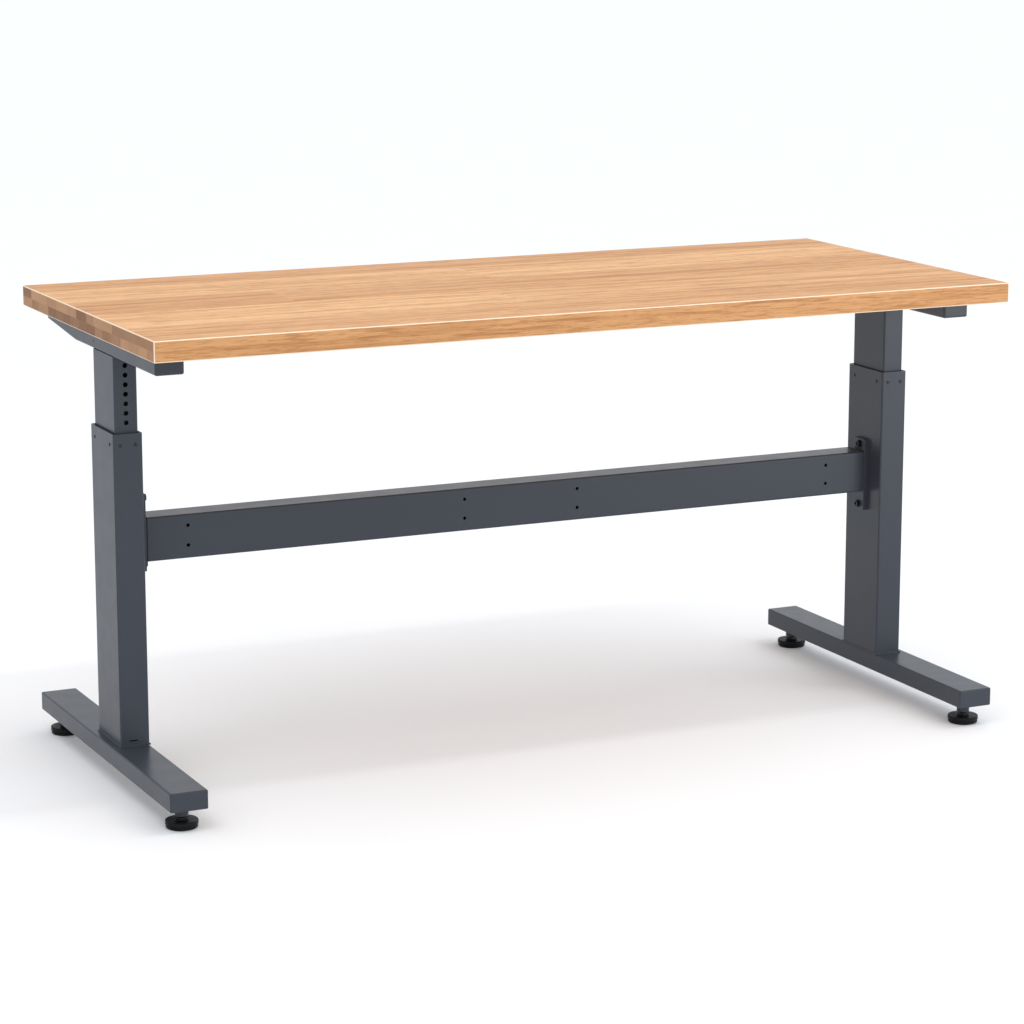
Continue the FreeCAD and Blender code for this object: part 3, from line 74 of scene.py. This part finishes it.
# Each soft box: its place, the point it faces, its width, its height and its power in watts.
SOFT_BOXES = {
    "left_strip": ((-3.6, -1.7, 1.2), (-0.8, 0, 0.5), 0.12, 2.2, 4),
    "top_box": ((-1.9, -0.9, 2.7), (-0.7, 0, 0.9), 1.0, 1.0, 6),
    "top_strip": ((1.7, -1.3, 4.2), (1.7, -0.4, 0), 3.2, 0.22, 26),
    "right_box": ((2.7, -3.2, 0.6), (0.8, 0, 0.4), 1.6, 1.0, 24),
}
FLOOR_REACH = 70.0
FLOOR_DROP = 0.2 * MM
FLOOR_LOW = (0.91, 0.915, 0.92)
FLOOR_HIGH = (0.93, 0.935, 0.94)


def make_camera():
    """A long lens from the front left, a little above the worktop."""
    data = bpy.data.cameras.new("camera")
    data.sensor_width = SENSOR_WIDE
    data.lens = CAMERA_LENS
    data.clip_end = CAMERA_REACH
    camera = bpy.data.objects.new("camera", data)
    flat = math.cos(CAMERA_ELEVATION)
    back = Vector((math.sin(CAMERA_AZIMUTH) * flat, -math.cos(CAMERA_AZIMUTH) * flat,
                   math.sin(CAMERA_ELEVATION)))
    camera.location = CAMERA_TARGET + back * CAMERA_DISTANCE
    camera.rotation_mode = "QUATERNION"
    camera.rotation_quaternion = (-back).to_track_quat("-Z", "Y")
    bpy.context.scene.collection.objects.link(camera)
    bpy.context.scene.camera = camera


def make_area_light(name, place, aim, wide, high, power):
    """A rectangular lamp at a place, turned towards a point."""
    data = bpy.data.lights.new(name, "AREA")
    data.shape = "RECTANGLE"
    data.size = wide
    data.size_y = high
    data.energy = power
    light = bpy.data.objects.new(name, data)
    light.location = place
    light.rotation_mode = "QUATERNION"
    light.rotation_quaternion = (Vector(aim) - Vector(place)).to_track_quat("-Z", "Y")
    bpy.context.scene.collection.objects.link(light)


def make_overhead():
    """Far light from above, whose wide disc gives soft shadows."""
    data = bpy.data.lights.new("overhead", "SUN")
    data.energy = SUN_STRENGTH
    data.color = SUN_COLOUR
    data.angle = SUN_DISC
    light = bpy.data.objects.new("overhead", data)
    light.rotation_mode = "QUATERNION"
    light.rotation_quaternion = Vector(SUN_TOWARDS).to_track_quat("-Z", "Y")
    bpy.context.scene.collection.objects.link(light)


def make_surround():
    """A white surround, brightest above and to the right, dimmer on the left."""
    world = bpy.data.worlds.new("studio")
    bpy.context.scene.world = world
    world.use_nodes = True
    nodes, links = world.node_tree.nodes, world.node_tree.links
    direction = nodes.new("ShaderNodeTexCoord")
    facing = nodes.new("ShaderNodeVectorMath")
    facing.operation = "DOT_PRODUCT"
    facing.inputs[1].default_value = SURROUND_BRIGHT_WAY
    level = nodes.new("ShaderNodeMapRange")
    level.inputs["From Min"].default_value = -1.0
    level.inputs["From Max"].default_value = 1.0
    level.inputs["To Min"].default_value = SURROUND_DIM
    level.inputs["To Max"].default_value = SURROUND_BRIGHT
    background = nodes["Background"]
    background.inputs["Color"].default_value = SURROUND_COLOUR
    links.new(direction.outputs["Generated"], facing.inputs[0])
    links.new(facing.outputs["Value"], level.inputs["Value"])
    links.new(level.outputs["Result"], background.inputs["Strength"])


def make_floor():
    """A plain pale floor, a hair below the pads so that the two faces don't fight."""
    reach = FLOOR_REACH
    floor_mesh = bpy.data.meshes.new("floor")
    floor_mesh.from_pydata([(-reach, -reach, 0), (reach, -reach, 0), (reach, reach, 0),
                            (-reach, reach, 0)], [], [(0, 1, 2, 3)])
    floor = bpy.data.objects.new("floor", floor_mesh)
    floor.location.z = -FLOOR_DROP
    bpy.context.scene.collection.objects.link(floor)
    paper = Shader("pale_floor")
    paper.set("Roughness", 0.9)
    paper.set("Specular IOR Level", 0.1)
    paper.feed("Base Color", paper.blend(paper.noise(paper.spot(), 3.0, 2.0),
                                         FLOOR_LOW, FLOOR_HIGH))
    floor_mesh.materials.append(paper.material)


def make_studio():
    """The surround, a broad light from above, the soft boxes and the floor."""
    make_surround()
    make_overhead()
    for name, (place, aim, wide, high, power) in SOFT_BOXES.items():
        make_area_light(name, place, aim, wide, high, power)
    bpy.context.scene.view_settings.view_transform = "Standard"
    make_floor()


# ---- shader building -------------------------------------------------------------------------

class Shader:
    """A Principled material whose nodes are added by short calls."""

    def __init__(self, name):
        self.material = bpy.data.materials.new(name)
        self.material.use_nodes = True
        self.tree = self.material.node_tree
        self.surface = self.tree.nodes["Principled BSDF"]

    def set(self, socket, value):
        """Give one of the surface's sockets a constant."""
        self.surface.inputs[socket].default_value = value

    def feed(self, socket, source):
        """Link a node's output to one of the surface's sockets."""
        self.tree.links.new(source, self.surface.inputs[socket])

    def add(self, kind, inputs, **settings):
        """One node; inputs maps a socket's name or number to a value or another node's output."""
        node = self.tree.nodes.new(kind)
        for key, value in settings.items():
            setattr(node, key, value)
        for key, value in inputs.items():
            if isinstance(value, bpy.types.NodeSocket):
                self.tree.links.new(value, node.inputs[key])
            else:
                node.inputs[key].default_value = value
        return node

    def spot(self):
        """The point on the surface, in metres in the object's own space."""
        return self.add("ShaderNodeTexCoord", {}).outputs["Object"]

    def stretch(self, spot, scale):
        """The point with its coordinates scaled, so that a noise on it comes out stretched."""
        return self.add("ShaderNodeMapping", {"Vector": spot, "Scale": scale}).outputs["Vector"]

    def noise(self, spot, scale, detail, roughness=0.5, distortion=0.0):
        """Smooth noise from 0 to 1."""
        return self.add("ShaderNodeTexNoise", {"Vector": spot, "Scale": scale, "Detail": detail,
                                               "Roughness": roughness,
                                               "Distortion": distortion}).outputs["Fac"]

    def math(self, operation, first, second=0.0, third=0.0):
        """Arithmetic on numbers or outputs."""
        return self.add("ShaderNodeMath", {0: first, 1: second, 2: third},
                        operation=operation).outputs[0]

    def vector(self, operation, first, second=(0, 0, 0)):
        """Arithmetic on vectors."""
        return self.add("ShaderNodeVectorMath", {0: first, 1: second},
                        operation=operation).outputs["Vector"]

    def ramp(self, value, low, high, out_low=0.0, out_high=1.0):
        """A smooth step: out_low below low, out_high above high."""
        return self.add("ShaderNodeMapRange",
                        {"Value": value, "From Min": low, "From Max": high, "To Min": out_low,
                         "To Max": out_high}, interpolation_type="SMOOTHSTEP").outputs["Result"]

    def blend(self, factor, first, second):
        """Mix two colours, each a triple or an output."""
        node = self.add("ShaderNodeMix", {}, data_type="RGBA")
        for index, value in ((0, factor), (6, first), (7, second)):
            if isinstance(value, bpy.types.NodeSocket):
                self.tree.links.new(value, node.inputs[index])
            elif index == 0:
                node.inputs[index].default_value = value
            else:
                node.inputs[index].default_value = (*value, 1)
        return node.outputs[2]

    def bump(self, height, distance, strength):
        """Fine relief, its depth in metres."""
        node = self.add("ShaderNodeBump", {"Height": height, "Distance": distance,
                                           "Strength": strength})
        self.feed("Normal", node.outputs["Normal"])


# ---- materials -------------------------------------------------------------------------------

# The part of a noise's range where most of it lies.
MIDST = (0.3, 0.7)
COAT_SHINE = 0.22
COAT_SPREAD = 0.02
PEEL_CLOSE = 650.0
PEEL_DEEP = 0.03 * MM
METAL_SPREAD = 0.07
MARKS_DEEP = 0.02 * MM
PLASTIC_SPREAD = 0.06
GRAIN_CLOSE = 1500.0
GRAIN_DEEP = 0.04 * MM


def powder_coat(name, low, high, roughness):
    """Dark blue-grey satin powder coat with fine orange peel."""
    coat = Shader(name)
    spot = coat.spot()
    coat.feed("Base Color", coat.blend(coat.noise(spot, 2.0, 2.0), low, high))
    coat.feed("Roughness", coat.ramp(coat.noise(spot, 25.0, 2.0), *MIDST,
                                     roughness - COAT_SPREAD, roughness + COAT_SPREAD))
    coat.set("Specular IOR Level", COAT_SHINE)
    coat.bump(coat.noise(spot, PEEL_CLOSE, 2.0), PEEL_DEEP, 0.25)
    return coat.material


def metal(name, low, high, roughness, streak=(60, 60, 900)):
    """Bare or plated metal, its machining or plating marks from stretched noise."""
    plain = Shader(name)
    spot = plain.stretch(plain.spot(), streak)
    marks = plain.noise(spot, 1.0, 4.0, 0.6)
    plain.feed("Base Color", plain.blend(marks, low, high))
    plain.set("Metallic", 1.0)
    plain.feed("Roughness", plain.ramp(marks, *MIDST,
                                       roughness - METAL_SPREAD, roughness + METAL_SPREAD))
    plain.bump(marks, MARKS_DEEP, 0.5)
    return plain.material


def plastic(name, low, high, roughness, shine=0.4):
    """Moulded plastic with a fine grain."""
    moulded = Shader(name)
    moulded.set("Specular IOR Level", shine)
    spot = moulded.spot()
    moulded.feed("Base Color", moulded.blend(moulded.noise(spot, 40.0, 4.0), low, high))
    moulded.feed("Roughness", moulded.ramp(moulded.noise(spot, 90.0, 4.0), *MIDST,
                                           roughness - PLASTIC_SPREAD,
                                           roughness + PLASTIC_SPREAD))
    moulded.bump(moulded.noise(spot, GRAIN_CLOSE, 2.0), GRAIN_DEEP, 0.5)
    return moulded.material


LIGHT_STAVE = (0.87, 0.508, 0.240)
DARK_STAVE = (0.64, 0.325, 0.135)
# Dark heart-grain brown, also the colour of the painted shade on the long side faces.
GRAIN_AND_SIDE_SHADE = (0.34, 0.140, 0.050)
PORE = (0.20, 0.085, 0.035)
LIGHT_END = (0.50, 0.275, 0.140)
DARK_END = (0.22, 0.105, 0.050)
# The colour of the painted highlight on the worktop's eased edges.
EDGE_HIGHLIGHT_COLOUR = (0.95, 0.82, 0.64)

# How far a stave's own numbers move its grain along each axis, in metres.
GRAIN_SHIFT = (31.0, 17.0, 23.0)
# The pith line of a stave: the spread of its place from stave to stave and where that starts.
PITH_Y = (0.16, -0.08)
PITH_Z = (0.06, 0.03)
PITH_LEVEL = 0.894
PITH_FOLD = 0.4
RING_SWAY = 0.028
RING_RIPPLE = 0.0025
RING_CLOSE = 1500.0
# The layers of the figure: each noise's scale along the stave and across it, then its detail,
# roughness and distortion.
FIGURE = {
    "sway": (2.2, 9.0, 2.0, 0.45, 0.0),
    "ripple": (9.0, 60.0, 3.0, 0.5, 0.0),
    "streak": (1.3, 42.0, 4.0, 0.6, 0.5),
    "fleck": (9.0, 190.0, 4.0, 0.6, 0.8),
    "fibre": (26.0, 340.0, 3.0, 0.65, 0.0),
    "pores": (60.0, 1100.0, 2.0, 0.5, 0.0),
}
# How a layer darkens the wood: where in its range it starts and is full, and how strong it is.
DARKENS = {
    "streak": (0.46, 0.66, 0.42),
    "fleck": (0.50, 0.64, 0.56),
    "fibre": (0.50, 0.66, 0.48),
    "pores": (0.62, 0.72, 0.35),
}
FACE_RINGS = 0.08
END_RINGS = 0.30
# How squarely a face looks along an axis before it counts as a side or an end.
FACING = (0.8, 0.98)
# How far painted shade darkens the worktop's long side faces.
SIDE_PAINTED_SHADE = 0.30
# Where the eased edges get their painted highlight, by how flat the face is, and how strong it
# is.
EDGE_HIGHLIGHT_SPAN = (0.995, 0.90)
EDGE_HIGHLIGHT_SHARE = 0.85
WOOD_SHINE = 0.10
WOOD_ROUGH = (0.42, 0.54)
WOOD_DEEP = 0.08 * MM


def hardwood():
    """Oiled laminated hardwood. Each stave's own numbers come from the mesh attribute 'stave':
    its tone and two seeds that move the grain, so that no two staves share a figure."""
    wood = Shader("laminated_hardwood")
    stave = wood.add("ShaderNodeAttribute", {}, attribute_name="stave").outputs["Vector"]
    parts = wood.add("ShaderNodeSeparateXYZ", {"Vector": stave})
    tone, seed, seed_two = parts.outputs[0], parts.outputs[1], parts.outputs[2]
    spot = wood.spot()
    moves = [wood.math("MULTIPLY", number, reach)
             for number, reach in zip((seed, seed_two, seed), GRAIN_SHIFT)]
    shift = wood.add("ShaderNodeCombineXYZ", dict(enumerate(moves))).outputs[0]
    own = wood.vector("ADD", spot, shift)
    layers = {}
    for name, (along, across, *settings) in FIGURE.items():
        layers[name] = wood.noise(wood.stretch(own, (along, across, across)), 1.0, *settings)

    def darken(colour, name, towards):
        start, full, strength = DARKENS[name]
        return wood.blend(wood.ramp(layers[name], start, full, 0.0, strength), colour, towards)

    # Growth rings: distance from a pith line that lies outside the stave and wanders along X.
    cell = wood.add("ShaderNodeSeparateXYZ", {"Vector": spot})
    pith_y = wood.math("MULTIPLY_ADD", seed, *PITH_Y)
    pith_z = wood.math("MULTIPLY_ADD", seed_two, *PITH_Z)
    sideways = wood.math("SUBTRACT", wood.math("PINGPONG", cell.outputs[1], PITH_FOLD), pith_y)
    up = wood.math("ADD", wood.math("SUBTRACT", cell.outputs[2], PITH_LEVEL), pith_z)
    radius = wood.math("SQRT", wood.math("ADD", wood.math("MULTIPLY", sideways, sideways),
                                         wood.math("MULTIPLY", up, up)))
    bent = wood.math("MULTIPLY_ADD", layers["sway"], RING_SWAY, radius)
    bent = wood.math("MULTIPLY_ADD", layers["ripple"], RING_RIPPLE, bent)
    wave = wood.math("SINE", wood.math("MULTIPLY", bent, RING_CLOSE))
    rings = wood.ramp(wave, -0.6, 1.0)
    # Long soft streaks, shorter flecks, rings, fine fibre and short dark pores.
    base = wood.blend(tone, LIGHT_STAVE, DARK_STAVE)
    base = darken(base, "streak", GRAIN_AND_SIDE_SHADE)
    base = darken(base, "fleck", GRAIN_AND_SIDE_SHADE)
    base = wood.blend(wood.math("MULTIPLY", rings, FACE_RINGS), base, GRAIN_AND_SIDE_SHADE)
    base = darken(base, "fibre", GRAIN_AND_SIDE_SHADE)
    base = darken(base, "pores", PORE)
    # The long edges are darkened a little as painted shade; end grain drinks more oil and shows
    # its rings.
    normal = wood.add("ShaderNodeNewGeometry", {}).outputs["Normal"]
    facing = wood.vector("ABSOLUTE", normal)
    sides = wood.add("ShaderNodeSeparateXYZ", {"Vector": facing})
    side_shade = wood.ramp(sides.outputs[1], *FACING, 0.0, SIDE_PAINTED_SHADE)
    base = wood.blend(side_shade, base, GRAIN_AND_SIDE_SHADE)
    end = wood.ramp(sides.outputs[0], *FACING)
    end_tone = wood.blend(tone, LIGHT_END, DARK_END)
    end_tone = wood.blend(wood.math("MULTIPLY", rings, END_RINGS), end_tone, PORE)
    base = wood.blend(end, base, end_tone)
    # The eased edges are painted paler than the faces: a painted highlight along the arrises.
    flattest = wood.math("MAXIMUM", wood.math("MAXIMUM", sides.outputs[0], sides.outputs[1]),
                         sides.outputs[2])
    edge = wood.ramp(flattest, *EDGE_HIGHLIGHT_SPAN)
    base = wood.blend(wood.math("MULTIPLY", edge, EDGE_HIGHLIGHT_SHARE), base, EDGE_HIGHLIGHT_COLOUR)
    wood.feed("Base Color", base)
    wood.set("Specular IOR Level", WOOD_SHINE)
    wood.feed("Roughness", wood.ramp(layers["streak"], *MIDST, *WOOD_ROUGH))
    relief = wood.math("ADD", wood.math("MULTIPLY", layers["fibre"], 0.6),
                       wood.math("MULTIPLY", layers["fleck"], 0.4))
    wood.bump(relief, WOOD_DEEP, 0.5)
    return wood.material


MATERIALS = {}


def make_materials():
    """One material for each slot of the record."""
    MATERIALS.update({
        "oiled_wood": hardwood(),
        "grey_paint": powder_coat("powder_coat", (0.040, 0.047, 0.060),
                                  (0.046, 0.053, 0.067), 0.30),
        "zinc_steel": metal("zinc_plate", (0.42, 0.43, 0.45), (0.56, 0.57, 0.59), 0.38),
        "dark_bolt": metal("black_steel", (0.035, 0.037, 0.04), (0.055, 0.057, 0.06), 0.42),
        "glide_plastic": plastic("acetal", (0.74, 0.73, 0.69), (0.80, 0.79, 0.76), 0.45),
        "bronze": metal("bronze", (0.50, 0.30, 0.12), (0.62, 0.39, 0.17), 0.32, (90, 90, 900)),
        "bright_steel": metal("ground_steel", (0.50, 0.50, 0.51), (0.62, 0.62, 0.63), 0.25),
        # The drive housing and its cover are black-painted castings; their near-black also stands
        # in as painted shade seen through the inner columns' holes.
        "black_casting": powder_coat("black_casting", (0.012, 0.012, 0.013),
                                     (0.018, 0.018, 0.020), 0.5),
        "motor_black": plastic("motor_black", (0.016, 0.016, 0.018), (0.024, 0.024, 0.026), 0.4),
        "black_pad": plastic("black_nylon", (0.008, 0.0085, 0.010),
                             (0.012, 0.0125, 0.014), 0.42, 0.10),
    })


def dress_nodes():
    """Give every CAD node the material of its record slot."""
    slot_of = {part["node"]: part["material_slot"] for part in frame["record"]["subparts"]}
    for name, node in frame["nodes"].items():
        for index in range(len(node.material_slots)):
            node.material_slots[index].material = MATERIALS[slot_of[name]]


# ---- mesh helpers ----------------------------------------------------------------------------

def add_piece(name, mesh, slot, body, replaced):
    """Turn a bmesh into a shown piece that rides on a body in place of a CAD node."""
    data = bpy.data.meshes.new(name)
    mesh.to_mesh(data)
    mesh.free()
    data.materials.append(MATERIALS[slot])
    piece = bpy.data.objects.new(name, data)
    bpy.context.scene.collection.objects.link(piece)
    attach(piece, body)
    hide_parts(replaced)


# ---- worktop ---------------------------------------------------------------------------------

EASE = 2.5 * MM
ROW_WIDE = (42 * MM, 68 * MM)
STAVE_LONG = (0.34, 0.92)
SNAP = 0.01 * MM
EASE_STEPS = 4
DICE_SEED = 7
# The first piece of a row is at least this share of the longest, and no piece at the end is
# shorter than this share of the shortest.
FIRST_SHARE = 0.35
LAST_SHARE = 0.6
FLAT = 0.999


def cut_points(start, end, shortest, longest, dice):
    """Points from start to end, a random step apart."""
    points = []
    spot = start + dice.uniform(FIRST_SHARE, 1.0) * longest
    while spot < end - shortest * LAST_SHARE:
        points.append(spot)
        spot += dice.uniform(shortest, longest)
    return points


def slice_faces(mesh, faces, axis, spot):
    """Cut some faces of a mesh by the plane where the axis has one value."""
    plane_point = Vector((0, 0, 0))
    plane_point[axis] = spot
    plane_normal = Vector((0, 0, 0))
    plane_normal[axis] = 1
    edges = {edge for face in faces for edge in face.edges}
    corners = {corner for face in faces for corner in face.verts}
    bmesh.ops.bisect_plane(mesh, geom=list(faces) + list(edges) + list(corners),
                           plane_co=plane_point, plane_no=plane_normal)


def faces_where(mesh, test):
    """The faces whose middle passes a test."""
    return [face for face in mesh.faces if test(face.calc_center_median())]


def make_worktop():
    """Two layers of staves, glued side by side and end to end, sanded flush as one block."""
    low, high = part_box("worktop")
    middle = (Vector(low) + Vector(high)) / 2
    size = Vector(high) - Vector(low)
    mesh = bmesh.new()
    bmesh.ops.create_cube(mesh, size=1.0)
    bmesh.ops.scale(mesh, vec=size, verts=mesh.verts)
    bmesh.ops.translate(mesh, vec=middle, verts=mesh.verts)
    bmesh.ops.bevel(mesh, geom=mesh.edges[:], offset=EASE, segments=EASE_STEPS, profile=0.5,
                    affect="EDGES", clamp_overlap=True)
    slice_faces(mesh, mesh.faces, 2, middle.z)
    dice = random.Random(DICE_SEED)
    staves = []
    for layer_low, layer_high in ((low[2], middle.z), (middle.z, high[2])):
        rows = [low[1]] + cut_points(low[1], high[1], *ROW_WIDE, dice) + [high[1]]

        def in_layer(spot, bottom=layer_low, top=layer_high):
            return bottom < spot.z < top

        for row in rows[1:-1]:
            slice_faces(mesh, faces_where(mesh, in_layer), 1, row)
        for row_low, row_high in zip(rows, rows[1:]):
            ends = [low[0]] + cut_points(low[0], high[0], *STAVE_LONG, dice) + [high[0]]

            def in_row(spot, front=row_low, rear=row_high, layer_test=in_layer):
                return layer_test(spot) and front < spot.y < rear

            for end in ends[1:-1]:
                slice_faces(mesh, faces_where(mesh, in_row), 0, end)
            for end_low, end_high in zip(ends, ends[1:]):
                staves.append(((end_low, row_low, layer_low), (end_high, row_high, layer_high)))
    numbers = [(dice.random(), dice.random(), dice.random()) for _ in staves]
    layer = mesh.loops.layers.float_vector.new("stave")
    for face in mesh.faces:
        spot = face.calc_center_median()
        for (start, finish), number in zip(staves, numbers):
            if all(start[axis] - SNAP < spot[axis] < finish[axis] + SNAP for axis in range(3)):
                for loop in face.loops:
                    loop[layer] = number
                break
    for face in mesh.faces:
        face.smooth = max(abs(part) for part in face.normal) < FLAT
    add_piece("laminated_worktop", mesh, "oiled_wood", "lift", "worktop")


# ---- turned and small pieces -----------------------------------------------------------------

RING_STEPS = 32
ON_AXIS = 1e-7


def add_turned(mesh, outline, place, axis):
    """Turn an outline of (radius, height) pairs about an axis through a place."""
    spin = Vector(axis).to_track_quat("Z", "Y").to_matrix()
    rings = []
    for radius, height in outline:
        if radius < ON_AXIS:
            rings.append([mesh.verts.new(Vector(place) + spin @ Vector((0, 0, height)))])
            continue
        ring = []
        for step in range(RING_STEPS):
            angle = 2 * math.pi * step / RING_STEPS
            spot = Vector((radius * math.cos(angle), radius * math.sin(angle), height))
            ring.append(mesh.verts.new(Vector(place) + spin @ spot))
        rings.append(ring)
    for lower, upper in zip(rings, rings[1:]):
        for step in range(RING_STEPS):
            following = (step + 1) % RING_STEPS
            if len(lower) == 1:
                corners = [lower[0], upper[following], upper[step]]
            elif len(upper) == 1:
                corners = [lower[step], lower[following], upper[0]]
            else:
                corners = [lower[step], lower[following], upper[following], upper[step]]
            mesh.faces.new(corners).smooth = True


PIN_Y = 45 * MM
PIN_X = 15 * MM
# The screw's outline from the shank's tip over the dome into the socket: radius and height in mm.
DOME = [(0.0, -4.5), (2.0, -4.5), (2.0, -0.02), (3.5, -0.02), (3.5, 0.25), (3.2, 0.62),
        (2.5, 0.95), (1.5, 1.13), (0.9, 1.18), (0.75, 0.7), (0.0, 0.6)]


def make_glide_screws():
    """Domed screws with a small socket, two on each face below each outer column's rim."""
    level = sum(corner[2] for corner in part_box("glide_screws")) / 2
    outline = [(radius * MM, height * MM) for radius, height in DOME]
    mesh = bmesh.new()
    for side in SIDES:
        low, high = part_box(f"{side}_outer_column")
        middle = (Vector(low) + Vector(high)) / 2
        for turn, face in ((-1, 0), (1, 1)):
            wide_x = (low, high)[face][0]
            end_y = (low, high)[face][1]
            for sign in (-1, 1):
                add_turned(mesh, outline, (wide_x, middle.y + sign * PIN_Y, level), (turn, 0, 0))
                add_turned(mesh, outline, (middle.x + sign * PIN_X, end_y, level), (0, turn, 0))
    add_piece("domed_glide_screws", mesh, "dark_bolt", "base", "glide_screws")


# ---- everything ------------------------------------------------------------------------------

make_camera()
make_studio()
make_materials()
dress_nodes()
make_worktop()
make_glide_screws()
